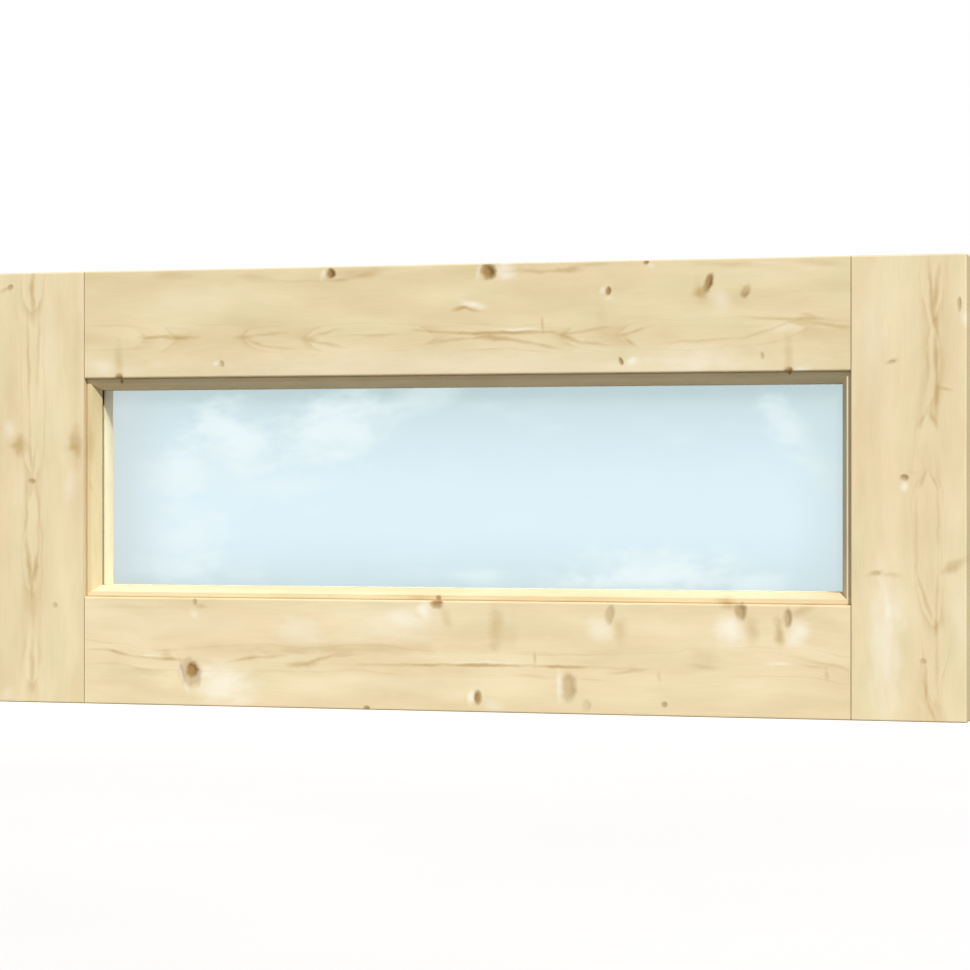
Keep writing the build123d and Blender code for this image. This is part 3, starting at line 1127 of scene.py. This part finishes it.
# How light the sky is at each height in degrees, from grey above to clear in the middle
sky_lightness = (
    (-6.0, 0.3),
    (-1.9, 0.5),
    (-1.5, 0.72),
    (-1.1, 0.92),
    (-0.7, 1.0),
    (-0.1, 0.95),
    (0.4, 0.8),
    (0.9, 0.6),
    (1.4, 0.3),
    (1.8, 0.05),
    (6.0, 0.0),
)

# Colours of the sky
grey_sky = srgb(196, 217, 221)
clear_sky = srgb(224, 243, 253)
cloud_white = srgb(238, 250, 252)
# Colours of the painted shade towards the pane's sides
shaded_left_sky = srgb(200, 211, 210)
shaded_right_sky = srgb(202, 220, 221)
pure_white = (1.0, 1.0, 1.0, 1.0)


def cloud_cover(nodes, bearing, height):
    """How much cloud there is at a spot of the sky."""
    spot = nodes.combine(bearing, height, 0.0)
    wisp_place = nodes.vector("MULTIPLY", spot, wisp_scale)
    wisps = nodes.noise(wisp_place, detail=5.0, roughness=0.62)
    cover = nodes.ramp(wisps, *wisp_edges, 0.0, wisp_share)
    ragged_place = nodes.vector("MULTIPLY", wisp_place, cloud_ragged_scale)
    ragged_noise = nodes.noise(ragged_place, detail=5.0, roughness=0.65)
    ragged = nodes.spread(ragged_noise, -cloud_ragged, cloud_ragged)
    for cloud in clouds:
        turn = math.radians(cloud.tilt)
        offset = nodes.vector("SUBTRACT", spot, (cloud.bearing, cloud.height, 0.0))
        right_axis = (math.cos(turn) / cloud.wide, math.sin(turn) / cloud.wide, 0.0)
        up_axis = (-math.sin(turn) / cloud.high, math.cos(turn) / cloud.high, 0.0)
        right = nodes.vector("DOT_PRODUCT", offset, right_axis)
        up = nodes.vector("DOT_PRODUCT", offset, up_axis)
        far = nodes.math("ADD", nodes.vector("LENGTH", nodes.combine(right, up, 0.0)), ragged)
        cover = nodes.math("MAXIMUM", cover, nodes.ramp(far, cloud_reach, 0.0, 0.0, cloud.strength))
    return cover


def sky_and_ambient(ambient):
    """White behind the window, a pale sky in the glass and an even light on everything else."""
    world = bpy.data.worlds.new("sky")
    bpy.context.scene.world = world
    world.use_nodes = True
    nodes = Nodes(world.node_tree)
    direction = nodes.put("ShaderNodeTexCoord", output="Generated")
    x, y, z = nodes.separate(direction)
    bearing = nodes.math("MULTIPLY", nodes.math("ARCTAN2", x, y), math.degrees(1.0))
    height = nodes.math("MULTIPLY", nodes.math("ARCSINE", z), math.degrees(1.0))
    sky = nodes.blend(nodes.profile(height, sky_lightness), grey_sky, clear_sky)
    sky = nodes.blend(cloud_cover(nodes, bearing, height), sky, cloud_white)
    # Painted shade in the sky where the pane's left and right edges are seen
    sky = nodes.blend(nodes.ramp(bearing, *sky_shade_left, 0.0, sky_shade_left_share), sky, shaded_left_sky)
    sky = nodes.blend(nodes.ramp(bearing, *sky_shade_right, 0.0, sky_shade_right_share), sky, shaded_right_sky)
    sky_light = nodes.put("ShaderNodeBackground", {"Color": sky, "Strength": 1.0})
    even_light = nodes.put("ShaderNodeBackground", {"Color": pure_white, "Strength": ambient})
    white = nodes.put("ShaderNodeBackground", {"Color": pure_white, "Strength": 1.0})
    path = nodes.put("ShaderNodeLightPath", output="Is Camera Ray").node
    glass_sees = seen_in_glass(nodes, path)
    light = nodes.put("ShaderNodeMixShader", {0: glass_sees, 1: even_light, 2: sky_light})
    light = nodes.put("ShaderNodeMixShader", {0: path.outputs["Is Camera Ray"], 1: light, 2: white})
    nodes.fill(world.node_tree.nodes["World Output"], {"Surface": light})


def sun(towards, strength, angle):
    """One sun lamp that shines from the given direction."""
    lamp = bpy.data.lights.new("sun", "SUN")
    lamp.energy = strength
    lamp.angle = math.radians(angle)
    lamp.color = (1.0, 0.985, 0.95)
    lamp_object = bpy.data.objects.new("sun", lamp)
    lamp_object.rotation_euler = Vector(towards).to_track_quat("Z", "Y").to_euler()
    lamp_object.location = Vector(towards) * 3.0
    bpy.context.scene.collection.objects.link(lamp_object)


def photo_camera(place, turn, lens):
    """The camera at the photograph's place, level but for a hair, turned left towards the window."""
    camera = bpy.data.cameras.new("camera")
    camera.lens = lens
    camera.sensor_width = 36.0
    camera.clip_end = 200.0
    camera_object = bpy.data.objects.new("camera", camera)
    camera_object.location = place
    camera_object.rotation_euler = Euler([math.radians(angle) for angle in turn])
    bpy.context.scene.collection.objects.link(camera_object)
    bpy.context.scene.camera = camera_object


pale_floor()
sky_and_ambient(ambient=0.35)
sun(towards=(0.65, -1.0, 1.05), strength=3.2, angle=0.8)
photo_camera(place=(0.780, -2.602, 0.206), turn=(89.926, 0.0, 16.229), lens=111.88)
bpy.context.scene.view_settings.view_transform = "Standard"
